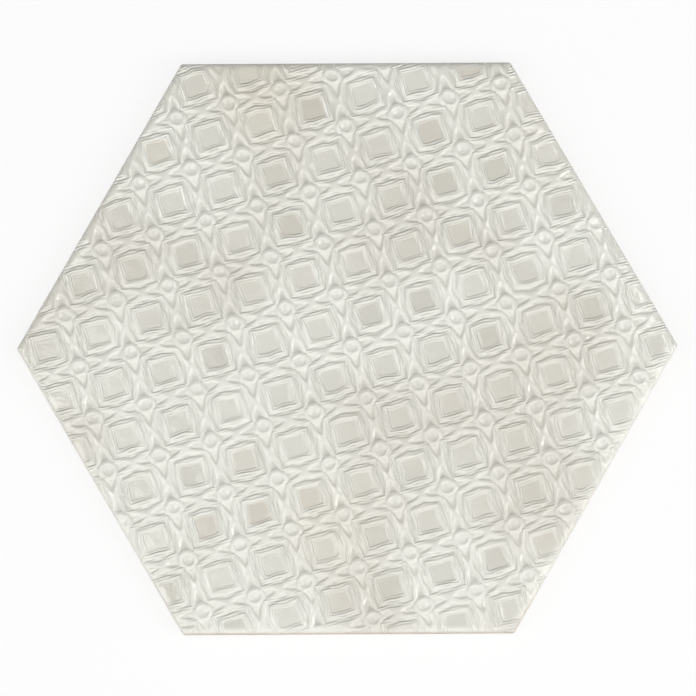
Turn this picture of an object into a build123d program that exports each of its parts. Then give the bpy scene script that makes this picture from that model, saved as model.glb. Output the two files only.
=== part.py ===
"""Hexagon wall tile, pressed and fired as one piece, with a relief on its glazed face. Millimetres, +Z up."""

import os
from math import ceil, cos, hypot, pi, radians, sin

from build123d import *

# Body: a regular hexagon with two corners on the X axis, lying on its back
across_flats = 175.0
thickness = 8.5
corner_radius = 1.2
face_edge_width = 2.4
face_edge_drop = 1.3
back_edge_chamfer = 0.5

# Keyed back: a waffle of shallow square recesses between flat ribs, inside a plain border
key_pitch = 19.0
key_rib_width = 3.6
key_depth = 0.7
key_border_width = 6.0

# Relief: a square lattice of ring bosses, turned and set a little off the hexagon's centre
relief_pitch = 16.41
relief_turn = 15.3
relief_shift_x = 1.42
relief_shift_y = 0.1

# Octagonal frame in each square of the lattice, with a groove inside it
frame_radius = 7.1
frame_draft = 25.0
groove_depth = 0.8

# Lip standing in the frame, and the panel sunk inside the lip
lip_width = 9.4
lip_drop = 0.12
lip_draft = 4.0
panel_rim_width = 7.6
panel_floor_width = 5.8
panel_depth = 0.95

# Star about each ring boss: four chip-cut lobes that taper to the meeting points of the frames
lobe_base_distance = 3.0
lobe_base_width = 3.2
lobe_tip_distance = 7.6
lobe_low_distance = 4.2
lobe_depth = 0.75

# Dish sunk in each ring boss
dish_radius = 1.75
dish_depth = 0.45

hexagon_sides = 6
frame_sides = 8
lobe_count = 4
across_corners = across_flats / cos(pi / hexagon_sides)


def distance_out(x, y):
    """How far the point lies from the tile's centre towards the nearest side of the hexagon."""
    turns = [radians(90) + 2 * pi * side / hexagon_sides for side in range(hexagon_sides)]
    return max(x * cos(turn) + y * sin(turn) for turn in turns)


def reaching(places, reach):
    """The places at which a shape of this reach touches the tile."""
    spots = [(place, place.position) for place in places]
    return [place for place, at in spots if distance_out(at.X, at.Y) < across_flats / 2 + reach]


# One framed panel, cut from the face about the panel's centre
with BuildPart() as panel_cutter:
    with BuildSketch():
        RegularPolygon(frame_radius, frame_sides)
    extrude(amount=-groove_depth, taper=frame_draft)
    with BuildSketch(Plane.XY.offset(-lip_drop)):
        Rectangle(lip_width, lip_width)
    extrude(amount=lip_drop - groove_depth, taper=-lip_draft, mode=Mode.SUBTRACT)
    with BuildSketch(Plane.XY.offset(-lip_drop)):
        Rectangle(panel_rim_width, panel_rim_width)
    with BuildSketch(Plane.XY.offset(-panel_depth)):
        Rectangle(panel_floor_width, panel_floor_width)
    loft()

# One star of lobes, cut from the face about a ring boss
with BuildPart() as lobe_cutter:
    with BuildSketch() as lobe_outline:
        Polygon(
            (lobe_base_distance, lobe_base_width / 2),
            (lobe_base_distance, -lobe_base_width / 2),
            (lobe_tip_distance, 0),
            align=None,
        )
    loft([lobe_outline.face(), Vertex(lobe_low_distance, 0, -lobe_depth)])
with BuildPart() as star_cutter:
    with PolarLocations(0, lobe_count):
        add(lobe_cutter.part)

# One dish, cut from the top of a ring boss
with BuildPart() as dish_cutter:
    with BuildSketch() as dish_outline:
        RegularPolygon(dish_radius, frame_sides)
    loft([dish_outline.face(), Vertex(0, 0, -dish_depth)])

# The tile
with BuildPart() as hexagon_tile:
    with BuildSketch():
        RegularPolygon(across_flats / 2, hexagon_sides, major_radius=False)
    extrude(amount=thickness)
    face = faces().sort_by(Axis.Z)[-1]
    chamfer(face.edges(), face_edge_width, face_edge_drop, reference=face)
    chamfer(faces().sort_by(Axis.Z)[0].edges(), back_edge_chamfer)
    with BuildSketch():
        RegularPolygon(across_flats / 2, hexagon_sides, major_radius=False)
        fillet(vertices(), corner_radius)
    extrude(amount=thickness, mode=Mode.INTERSECT)

    # Relief of the face
    lattice_count = 2 * ceil(across_corners / relief_pitch / 2) + 1
    lattice = Location((relief_shift_x, relief_shift_y, thickness), (0, 0, relief_turn))
    bosses = [lattice * spot for spot in GridLocations(relief_pitch, relief_pitch, lattice_count, lattice_count)]
    panels = [boss * Location((relief_pitch / 2, relief_pitch / 2)) for boss in bosses]
    with Locations(*reaching(bosses, lobe_tip_distance)):
        add(star_cutter.part, clean=False, mode=Mode.SUBTRACT)
    with Locations(*reaching(panels, frame_radius)):
        add(panel_cutter.part, clean=False, mode=Mode.SUBTRACT)
    with Locations(*reaching(bosses, dish_radius)):
        add(dish_cutter.part, clean=False, mode=Mode.SUBTRACT)

    # Key of the back
    key_count = 2 * ceil(across_corners / key_pitch / 2)
    key_width = key_pitch - key_rib_width
    key_places = GridLocations(key_pitch, key_pitch, key_count, key_count)
    with BuildSketch():
        with Locations(*reaching(key_places, -key_border_width - key_width * hypot(1, 1) / 2)):
            Rectangle(key_width, key_width)
    extrude(amount=key_depth, clean=False, mode=Mode.SUBTRACT)

hexagon_tile.part.label = "hexagon_tile"
os.makedirs("parts", exist_ok=True)
export_step(hexagon_tile.part, "parts/hexagon_tile.step")
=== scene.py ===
import math

import bmesh
import bpy
from mathutils import Matrix, Vector


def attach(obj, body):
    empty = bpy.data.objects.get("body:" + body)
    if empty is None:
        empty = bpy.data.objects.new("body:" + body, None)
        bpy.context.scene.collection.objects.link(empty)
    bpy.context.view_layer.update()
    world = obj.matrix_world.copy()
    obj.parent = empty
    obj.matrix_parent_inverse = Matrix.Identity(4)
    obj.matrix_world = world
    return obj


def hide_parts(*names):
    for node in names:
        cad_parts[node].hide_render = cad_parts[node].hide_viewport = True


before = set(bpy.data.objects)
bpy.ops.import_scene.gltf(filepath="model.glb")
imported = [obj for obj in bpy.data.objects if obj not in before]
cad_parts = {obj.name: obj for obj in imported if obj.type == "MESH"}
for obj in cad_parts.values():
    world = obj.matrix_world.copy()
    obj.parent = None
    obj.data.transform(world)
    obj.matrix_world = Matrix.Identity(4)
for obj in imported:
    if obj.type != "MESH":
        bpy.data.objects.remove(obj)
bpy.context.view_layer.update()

# The pressed face, one square of it. A band of eight sides frames a groove, a raised lip and a sunk
# panel. Each ring, from the band inwards, has points in millimetres from a side's middle to a corner,
# the depths along them, and the number of steps that round its wall off.
pitch = 0.01641
crest = 0.00832
octagon = pitch / 2
waist_out, waist_off = 6.72, 2.90
panel_rings = (
    (((7.20, 0), (6.14, 2.84), (5.54, 5.54)), (0.02, 0.02, 0.02), 1),
    (((6.28, 0), (5.60, 2.66), (5.12, 5.12)), (0.38, 0.46, 0.38), 3),
    (((5.78, 0), (5.14, 2.28), (4.80, 4.80)), (0.48, 0.48, 0.38), 1),
    (((5.16, 0), (4.64, 2.07), (4.34, 4.34)), (0.03, 0.03, 0.03), 3),
    (((4.40, 0), (4.16, 1.95), (3.96, 3.96)), (0, 0, 0), 1),
    (((3.72, 0), (3.72, 0.93), (3.70, 1.86), (3.64, 2.74), (3.42, 3.42)), (0.05, 0.05), 1),
    (((3.22, 0), (3.22, 0.80), (3.20, 1.60), (3.10, 2.34), (2.80, 2.80)), (0.31, 0.31), 3),
    (((2.35, 0), (2.35, 0.58), (2.33, 1.16), (2.26, 1.70), (2.04, 2.04)), (0.35, 0.35), 1),
    (((1.60, 0), (1.60, 0.40), (1.59, 0.80), (1.53, 1.16), (1.38, 1.38)), (0.33, 0.33), 1),
)
loop_points = 32
eighth = loop_points // 8


def along(values, share):
    """The value at a share of the way along evenly spaced values."""
    first = min(int(share * (len(values) - 1)), len(values) - 2)
    part = share * (len(values) - 1) - first
    return values[first] * (1 - part) + values[first + 1] * part


def lay_ring(piece, points, depths):
    """Moves the selected loop to a ring, eight times the line from a side to a corner."""
    edit = bmesh.from_edit_mesh(piece.data)
    loop = [point for point in edit.verts if point.select]
    loop.sort(key=lambda point: (math.atan2(point.co.y, point.co.x) + 0.001) % math.tau)
    for place, point in enumerate(loop):
        quarter, step = divmod(place, 2 * eighth)
        share = min(step, 2 * eighth - step) / eighth
        out, off = (along(values, share) for values in zip(*points))
        spot = Vector((out, off) if step <= eighth else (off, out))
        spot.rotate(Matrix.Rotation(quarter * math.pi / 2, 2))
        point.co = (spot.x / 1000, spot.y / 1000, crest - along(depths, share) / 1000)


def sink(piece, outline, rings):
    """Lays the loop on its outline, steps it inwards from ring to ring and closes the last with a face."""
    shares = [step / eighth for step in range(eighth + 1)]
    last_points = [[along(values, share) for values in zip(*outline)] for share in shares]
    last_depths = [0 for share in shares]
    lay_ring(piece, last_points, last_depths)
    for ring_points, ring_depths, steps in rings:
        points = [[along(values, share) for values in zip(*ring_points)] for share in shares]
        depths = [along(ring_depths, share) for share in shares]
        for step in range(1, steps + 1):
            part = step / steps
            soft = part**2 * (3 - 2 * part)
            bpy.ops.mesh.extrude_region_move()
            between = [[a + (b - a) * part for a, b in zip(*pair)] for pair in zip(last_points, points)]
            lay_ring(piece, between, [a + (b - a) * soft for a, b in zip(last_depths, depths)])
        last_points, last_depths = points, depths
    bpy.ops.mesh.edge_face_add()


half, corner_half = octagon * 1000, octagon * 1000 * math.sqrt(0.5)
bpy.ops.object.select_all(action="DESELECT")
bpy.ops.mesh.primitive_circle_add(vertices=loop_points, radius=octagon)
relief = bpy.context.object
relief.name = "glazed_tile"
bpy.ops.object.mode_set(mode="EDIT")
bpy.ops.mesh.select_mode(type="VERT")
sink(relief, ((half, 0), (waist_out, waist_off), (corner_half, corner_half)), panel_rings)
bpy.ops.object.mode_set(mode="OBJECT")

# The star at the square's corner lies between four bands: four hollow lobes round a thin ring with a
# dish. Its outline lies on the bands' outlines, so the two pieces of a square join point to point.
star_rings = [
    (((7.50, 0), (6.35, 0.84), (4.95, 1.38), (3.42, 1.66), (2.28, 2.28)), (0.02, 0.02), 1),
    (((6.50, 0), (5.95, 0.26), (4.85, 0.64), (3.45, 1.04), (2.15, 2.15)), (0.24, 0.46, 0.66, 0.42, 0.02), 3),
    (((3.28, 0), (3.26, 0.30), (3.23, 0.55), (3.08, 0.88), (2.02, 2.02)), (0.5, 0.5, 0.45, 0.25, 0.02), 1),
    (((2.88, 0), (2.85, 0.50), (2.75, 0.92), (2.48, 1.35), (1.88, 1.88)), (0.02, 0.02), 2),
]
angles = [part * math.pi / 4 / eighth for part in range(eighth + 1)]
for radius, depth in ((2.28, 0.10), (2.02, -0.07), (1.74, 0.10), (1.25, 0.26)):
    circle = [(radius * math.cos(angle), radius * math.sin(angle)) for angle in angles]
    star_rings.append((circle, (depth, depth), 1))
bpy.ops.object.select_all(action="DESELECT")
bpy.ops.mesh.primitive_circle_add(vertices=loop_points, radius=octagon)
star = bpy.context.object
bpy.ops.object.mode_set(mode="EDIT")
near = half - corner_half
sink(star, ((half, 0), (half - waist_off, half - waist_out), (near, near)), star_rings)
bpy.ops.mesh.select_all(action="SELECT")
bpy.ops.transform.translate(value=(octagon, octagon, 0))
bpy.ops.object.mode_set(mode="OBJECT")
relief.select_set(True)
bpy.context.view_layer.objects.active = relief
bpy.ops.object.join()

# The square repeats over the face on a lattice that is turned and a little off the tile's centre.
# Pressing and glaze leave it uneven: lines wander by tenths of a millimetre and the gloss is wavy.
count = 15
first = (1 - count / 2) * pitch
turn = math.radians(15.3)
shift = Vector((0.00142, 0.0001, 0))
weld = 0.00001
panel_reach = 3.5
thin_pool = 0.3
bpy.ops.object.mode_set(mode="EDIT")
bpy.ops.mesh.select_all(action="SELECT")
bpy.ops.mesh.remove_doubles(threshold=weld)
bpy.ops.mesh.normals_make_consistent(inside=False)
bpy.ops.transform.translate(value=(first, first, 0))
bpy.ops.object.mode_set(mode="OBJECT")
for name, step in (("across", (pitch, 0, 0)), ("along", (0, pitch, 0))):
    row = relief.modifiers.new(name, "ARRAY")
    row.count = count
    row.use_relative_offset = False
    row.use_constant_offset = True
    row.constant_offset_displace = step
    row.use_merge_vertices = True
    row.merge_threshold = weld
    bpy.ops.object.modifier_apply(modifier=name)
pools, reaches = [], []
for point in relief.data.vertices:
    reach = max(abs(point.co.x / pitch % 1 - 0.5), abs(point.co.y / pitch % 1 - 0.5)) * pitch * 1000
    pools.append((crest - point.co.z) * 1000 * (1 if reach < panel_reach else thin_pool))
    reaches.append(reach)
relief.rotation_euler.z = turn
relief.location = shift
bpy.ops.object.transform_apply()
for name, direction, size, strength in (
    ("wander", "RGB_TO_XYZ", 0.005, 0.0010),
    ("swell", "Z", 0.012, 0.0003),
    ("ripple", "Z", 0.0035, 0.0002),
):
    unevenness = bpy.data.textures.new(name, "CLOUDS")
    unevenness.noise_scale = size
    unevenness.noise_depth = 1
    unevenness.cloud_type = "COLOR"
    uneven = relief.modifiers.new(name, "DISPLACE")
    uneven.texture = unevenness
    uneven.texture_coords = "LOCAL"
    uneven.direction = direction
    uneven.strength = strength
    if name == "wander":
        heights = [point.co.z for point in relief.data.vertices]
    bpy.ops.object.modifier_apply(modifier=name)
    if name == "wander":
        for point, height in zip(relief.data.vertices, heights):
            point.co.z = height

# The hexagon trims the relief: six sides, six blunt corners, and lines along each side for the roll.
# The glaze has rounded the rim off, more on the right than elsewhere, and the relief fades there.
apothem = 0.08748
corner_reach = 0.1008
cut_threshold = 1e-7
roll_lines = (0.0002, 0.0006, 0.0012, 0.002)
out_angles = [math.radians(angle) for angle in range(30, 390, 60)]
outs = [Vector((math.cos(angle), math.sin(angle), 0)) for angle in out_angles]
roll_widths = (0.0040, 0.0032, 0.0024, 0.0024, 0.0026, 0.0040)
roll_drop = 0.0015
for name, values in (("pool", pools), ("reach", reaches)):
    kept = relief.data.attributes.new(name, "FLOAT", "POINT")
    kept.data.foreach_set("value", values)
bpy.ops.object.mode_set(mode="EDIT")
for out in outs:
    bpy.ops.mesh.select_all(action="SELECT")
    bpy.ops.mesh.bisect(plane_co=out * apothem, plane_no=out, clear_outer=True, threshold=cut_threshold)
for side in range(6):
    corner = Vector((math.cos(math.radians(60 * side)), math.sin(math.radians(60 * side)), 0))
    at = corner * corner_reach
    bpy.ops.mesh.select_all(action="SELECT")
    bpy.ops.mesh.bisect(plane_co=at, plane_no=corner, clear_outer=True, threshold=cut_threshold)
for out in outs:
    for inset in roll_lines:
        bpy.ops.mesh.select_all(action="SELECT")
        bpy.ops.mesh.bisect(plane_co=out * (apothem - inset), plane_no=out, threshold=cut_threshold)
bpy.ops.object.mode_set(mode="OBJECT")
pool_depths = relief.data.attributes["pool"].data
for point in relief.data.vertices:
    over = max(1 - (apothem - point.co.dot(out)) / width for out, width in zip(outs, roll_widths))
    over = min(max(over, 0), 1)
    fade = 1 - over**1.2
    point.co.z = crest - (crest - point.co.z) * fade - roll_drop * (1 - math.sqrt(1 - over**2.2))
    pool_depths[point.index].value *= fade

# The sides come down from the rim, and the lower body with its keyed back is taken from the CAD part.
side_foot = 0.0055
body_top = 0.0035
body_weld = 0.000001
bpy.ops.object.mode_set(mode="EDIT")
bpy.ops.mesh.select_mode(type="EDGE")
bpy.ops.mesh.select_all(action="SELECT")
bpy.ops.mesh.dissolve_degenerate(threshold=body_weld)
bpy.ops.mesh.select_all(action="DESELECT")
bpy.ops.mesh.select_non_manifold()
bpy.ops.mesh.extrude_region_move()
bpy.ops.transform.resize(value=(1, 1, 0), center_override=(0, 0, side_foot))
bpy.ops.object.mode_set(mode="OBJECT")
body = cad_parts["hexagon_tile"].copy()
body.data = body.data.copy()
body.parent = None
bpy.context.collection.objects.link(body)
bpy.ops.object.select_all(action="DESELECT")
body.select_set(True)
bpy.context.view_layer.objects.active = body
body.data.materials.clear()
bpy.ops.object.mode_set(mode="EDIT")
bpy.ops.mesh.select_all(action="SELECT")
bpy.ops.mesh.remove_doubles(threshold=body_weld)
bpy.ops.mesh.bisect(
    plane_co=(0, 0, body_top), plane_no=(0, 0, 1), clear_outer=True, threshold=cut_threshold
)
bpy.ops.object.mode_set(mode="OBJECT")
relief.select_set(True)
bpy.context.view_layer.objects.active = relief
bpy.ops.object.join()
bpy.ops.object.mode_set(mode="EDIT")
bpy.ops.mesh.select_all(action="DESELECT")
bpy.ops.mesh.select_non_manifold()
bpy.ops.mesh.bridge_edge_loops()
bpy.ops.mesh.select_all(action="SELECT")
bpy.ops.mesh.normals_make_consistent(inside=False)
bpy.ops.object.mode_set(mode="OBJECT")
bpy.ops.object.shade_smooth_by_angle(angle=math.radians(65))
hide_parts("hexagon_tile")
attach(relief, "root")


class Wire:
    """An output of a shader node, so that the finish's sums can be written as sums."""

    def __init__(self, socket):
        self.socket = socket

    def node(self, kind, settings, sockets, output=0):
        """Adds a node to the same material, sets it up, feeds its sockets and gives an output."""
        tree = self.socket.id_data
        added = tree.nodes.new(kind)
        for name, value in settings.items():
            setattr(added, name, value)
        for name, value in sockets.items():
            if isinstance(value, Wire):
                tree.links.new(value.socket, added.inputs[name])
            else:
                added.inputs[name].default_value = value
        return Wire(added.outputs[output])

    def maths(self, operation, *values):
        return self.node("ShaderNodeMath", {"operation": operation}, dict(enumerate(values)))

    def __add__(self, other):
        return self.maths("ADD", self, other)

    def __sub__(self, other):
        return self.maths("SUBTRACT", self, other)

    def __rsub__(self, other):
        return self.maths("SUBTRACT", other, self)

    def __mul__(self, other):
        return self.maths("MULTIPLY", self, other)

    __radd__ = __add__
    __rmul__ = __mul__

    def ramp(self, low, high):
        """0 up to low, 1 from high on, smooth between. Low may be the larger."""
        sockets = {"Value": self, "From Min": low, "From Max": high}
        return self.node("ShaderNodeMapRange", {"interpolation_type": "SMOOTHSTEP"}, sockets)

    def noise(self, scale, detail):
        """Smooth noise over this place, around a half."""
        return self.node("ShaderNodeTexNoise", {}, {"Vector": self, "Scale": scale, "Detail": detail})

    def tint(self, colour, amount):
        """This colour mixed with another."""
        settings = {"data_type": "RGBA", "clamp_factor": True}
        other = colour if isinstance(colour, Wire) else (*colour, 1)
        return self.node("ShaderNodeMix", settings, {0: amount, 6: self, 7: other}, 2)


# The finish: a glossy ivory glaze that lies thin and pale on the ridges, pools a little darker in the
# hollows and ends in a wavy line below the rim, with bare buff biscuit under it. Its gloss is wavy,
# with fine lines along the walls of the relief.
finish = bpy.data.materials.new("ivory_glaze_on_biscuit")
finish.use_nodes = True
shader = finish.node_tree.nodes["Principled BSDF"]
start = Wire(shader.outputs[0])
place = start.node("ShaderNodeTexCoord", {}, {}, 3)
height = place.node("ShaderNodeSeparateXYZ", {}, {0: place}, 2)
along_y = place.node("ShaderNodeSeparateXYZ", {}, {0: place}, 1)
pool = start.node("ShaderNodeAttribute", {"attribute_name": "pool"}, {}, 2)

lattice = place.node(
    "ShaderNodeMapping",
    {"vector_type": "TEXTURE"},
    {"Vector": place, "Location": shift, "Rotation": (0, 0, turn), "Scale": (pitch, pitch, 1)},
)
square = lattice.node("ShaderNodeVectorMath", {"operation": "FLOOR"}, {0: lattice})
chance = square.node("ShaderNodeTexWhiteNoise", {"noise_dimensions": "2D"}, {"Vector": square})
warmth = square.node("ShaderNodeTexWhiteNoise", {"noise_dimensions": "3D"}, {"Vector": square})
pooled = pool.ramp(0.1, 0.35)
grain = place.noise(900, 2)

ridge_ivory = (0.81, 0.807, 0.74, 1)
pool_ivory = (0.765, 0.758, 0.685, 1)
colour = start.node("ShaderNodeMix", {"data_type": "RGBA"}, {0: pooled, 6: ridge_ivory, 7: pool_ivory}, 2)
colour = colour.tint((0.62, 0.60, 0.53), pooled * chance.ramp(0.4, 1.0) * 0.65)
colour = colour.tint((0.66, 0.58, 0.50), pooled * warmth.ramp(0.7, 1.0) * 0.3)
for spot, spread, strength in (
    ((-0.025, 0.078, 0.008), 0.030, 0.5),
    ((-0.005, -0.056, 0.008), 0.028, 0.35),
    ((0.060, 0.070, 0.008), 0.035, 0.2),
):
    far = place.node("ShaderNodeVectorMath", {"operation": "DISTANCE"}, {0: place, 1: spot}, 1)
    colour = colour.tint((0.68, 0.62, 0.51), far.ramp(spread, 0) * strength)
colour = colour.tint((0.66, 0.62, 0.54), place.noise(24, 1).ramp(0.42, 0.72) * 0.5)
rim_top, rim_foot = 0.0079, 0.0070
glaze_full, glaze_end = 0.0068, 0.0064
near_from, near_full = -0.06, -0.085
thin = height.ramp(rim_top, rim_foot)
colour = colour.tint((0.62, 0.52, 0.41), thin * along_y.ramp(near_from, near_full) * 0.8)
colour = colour.tint((0.66, 0.60, 0.53), thin * along_y.ramp(near_full, near_from) * 0.35)
bare = (height + place.noise(120, 2) * 0.0012).ramp(glaze_full, glaze_end)
colour = colour.tint((0.60, 0.47, 0.34), bare)
colour = colour.tint((0.50, 0.38, 0.27), bare * grain.ramp(0.45, 0.75) * 0.5)
tree = finish.node_tree
shader.inputs["IOR"].default_value = 1.6
tree.links.new(colour.socket, shader.inputs["Base Color"])
tree.links.new((bare * 0.78 + 0.04).socket, shader.inputs["Roughness"])
reach = start.node("ShaderNodeAttribute", {"attribute_name": "reach"}, {}, 2)
phase = reach * 7.0 + place.noise(140, 1) * 9.0
walls = reach.ramp(2.2, 3.6) * reach.ramp(7.2, 6.2)
lines = phase.maths("SINE", phase) * place.noise(90, 1).ramp(0.2, 0.55) * walls * 0.9
waves = place.noise(350, 1) * 0.5 + place.noise(1000, 1) * 0.5
swells = bare * grain * 1.5 + waves + lines
bump = start.node("ShaderNodeBump", {}, {"Strength": 1.0, "Distance": 0.0001, "Height": swells})
tree.links.new(bump.socket, shader.inputs["Normal"])
relief.data.materials.append(finish)

# The floor is a plain white sweep that keeps the tile's soft shadow. It lies a hair below the back, so
# that the two never share a plane.
bpy.ops.object.select_all(action="DESELECT")
hair = 0.0001
bpy.ops.mesh.primitive_plane_add(size=4, location=(0, 0, -hair))
floor = bpy.context.object
floor.name = "floor"
white = bpy.data.materials.new("white_sweep")
white.use_nodes = True
paper = white.node_tree.nodes["Principled BSDF"]
paper.inputs["Base Color"].default_value = (0.92, 0.92, 0.92, 1)
paper.inputs["Roughness"].default_value = 0.9
seen = Wire(paper.outputs[0])
camera_ray = seen.node("ShaderNodeLightPath", {}, {}, 0)
glow = seen.node("ShaderNodeEmission", {}, {"Color": (1, 1, 1, 1), "Strength": 1})
mixed = seen.node("ShaderNodeMixShader", {}, {0: camera_ray * 0.85, 1: seen, 2: glow})
white.node_tree.links.new(mixed.socket, white.node_tree.nodes["Material Output"].inputs["Surface"])
floor.data.materials.append(white)

# Soft studio light: a surround that is brighter on the near side, broad lamps from there and from both
# sides, narrow ones low down that draw thin glints on the walls, and two overhead.
world = bpy.data.worlds.new("studio")
bpy.context.scene.world = world
world.use_nodes = True
backdrop = world.node_tree.nodes["Background"]
backdrop.inputs["Color"].default_value = (1, 1, 1, 1)
sky = Wire(backdrop.outputs[0])
facing = sky.node("ShaderNodeSeparateXYZ", {}, {0: sky.node("ShaderNodeTexCoord", {}, {}, 0)}, 1)
world.node_tree.links.new((facing.ramp(0.8, -0.8) * 0.28 + 0.05).socket, backdrop.inputs["Strength"])
for name, lamp_place, wide, long, power in (
    ("key", (0.1, -0.85, 1.3), 1.2, 1.2, 5.6),
    ("near", (0.0, -1.0, 0.55), 1.2, 0.05, 0.5),
    ("left", (-0.9, -0.45, 1.0), 0.5, 0.8, 3.6),
    ("right", (0.9, -0.45, 1.0), 0.5, 0.8, 5.3),
    ("low left", (-1.0, -0.1, 0.36), 0.1, 0.8, 1.9),
    ("low right", (1.0, -0.1, 0.36), 0.1, 0.8, 2.9),
    ("above", (0.5, 0.2, 1.6), 0.4, 0.4, 2.5),
    ("glint", (-0.4, -0.05, 1.6), 0.3, 0.5, 2.2),
):
    bpy.ops.object.light_add(type="AREA", location=lamp_place)
    lamp = bpy.context.object
    lamp.name = name
    lamp.data.shape = "RECTANGLE"
    lamp.data.size = wide
    lamp.data.size_y = long
    lamp.data.energy = power
    lamp.rotation_euler = Vector(lamp_place).to_track_quat("Z", "Y").to_euler()

# The camera looks down on the face, tipped a little towards the near side.
distance = 1.8
frame_width = 0.2136
aim = Vector((0.00021, 0.00035, 0))
tilt = math.radians(5)
stand = aim + Vector((0, -math.sin(tilt), math.cos(tilt))) * distance
turned = Matrix.Rotation(tilt, 3, "X") @ Matrix.Rotation(math.radians(-0.315), 3, "Z")
bpy.ops.object.camera_add(location=stand, rotation=turned.to_euler())
camera = bpy.context.object
camera.data.sensor_width = 36
camera.data.lens = camera.data.sensor_width * distance / frame_width
bpy.context.scene.camera = camera
bpy.context.scene.view_settings.view_transform = "Standard"
